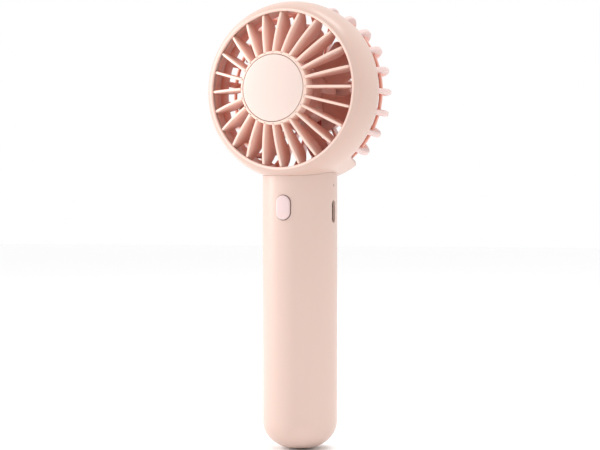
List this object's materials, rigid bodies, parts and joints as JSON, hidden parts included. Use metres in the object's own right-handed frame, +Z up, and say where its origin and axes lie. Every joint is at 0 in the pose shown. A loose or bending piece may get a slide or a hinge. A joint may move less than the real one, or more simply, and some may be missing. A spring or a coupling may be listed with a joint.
{
  "type": "handheld electric fan",
  "caption": "Cordless hand fan with a round domed handle, a fixed barrel head with finned front and rear grilles, a motor-driven impeller, a push button and a charging inlet.",
  "frame": {"origin": "middle of the handle's domed lower end, on the handle's axis", "axes": "+Z up along the handle to the head, -Y out of the front grille, +X to the side with the charging inlet"},
  "size_m": [0.0817, 0.0472, 0.203],
  "materials": {
    "shell": "satin pale pink ABS",
    "front_grille": "satin pale pink ABS",
    "cap": "satin paler pink ABS",
    "rear_grille": "satin pale pink ABS",
    "impeller": "satin pink PP",
    "steel": "bright steel",
    "magnet": "bonded ferrite",
    "brass": "turned brass",
    "aluminium": "stamped",
    "lamination": "stacked sheet steel",
    "copper": "enamelled copper wire",
    "board": "green solder mask",
    "chip": "moulded epoxy",
    "ferrite": "ferrite",
    "screw": "zinc plated",
    "frame": "natural ABS",
    "cell": "shrink sleeve",
    "nickel": "nickel strip",
    "foam": "closed-cell foam",
    "inlet": "drawn steel",
    "dark_plastic": "matte",
    "plunger": "matte",
    "button": "satin pink ABS",
    "lamp": "clear epoxy",
    "clear": "clear acrylic",
    "red_wire": "PVC",
    "black_wire": "PVC"
  },
  "bodies": {
    "housing": {"handle_shell": "shell", "head_barrel": "shell", "front_grille": "front_grille", "hub_cap": "cap", "rear_grille": "rear_grille", "front_bearing": "steel", "rear_bearing": "steel", "bearing_tube": "brass", "motor_base": "aluminium", "stator_core": "lamination", "stator_windings": "copper", "motor_board": "board", "motor_screws": "screw", "neck_screws": "screw", "inner_frame": "frame", "battery_cell": "cell", "battery_tabs": "nickel", "battery_foam": "foam", "main_board": "board", "board_chips": "chip", "board_inductor": "ferrite", "board_screws": "screw", "usb_shell": "inlet", "usb_tongue": "dark_plastic", "tact_switch": "dark_plastic", "charge_lamp": "lamp", "light_pipe": "clear", "motor_wires": "red_wire", "battery_wires": "black_wire"},
    "rotor": {"impeller": "impeller", "rotor_can": "steel", "rotor_magnet": "magnet", "motor_shaft": "steel", "shaft_clip": "steel"},
    "button": {"button_cap": "button"},
    "plunger": {"switch_plunger": "plunger"}
  },
  "joints": [
    {"name": "rotor_spin", "type": "hinge", "parent": "housing", "child": "rotor", "pos_m": [0, 0, 0.1621], "axis": [0, -1, 0], "continuous": true},
    {"name": "button_press", "type": "slide", "parent": "housing", "child": "button", "axis": [0, 1, 0], "range_m": [0, 0.0005], "stiffness_N_per_m": 400, "springref_m": -0.0005},
    {"name": "plunger_press", "type": "slide", "parent": "housing", "child": "plunger", "axis": [0, 1, 0], "range_m": [0, 0.0005]}
  ],
  "couplings": [
    {"joint": "plunger_press", "follows": "button_press", "ratio": 1}
  ]
}
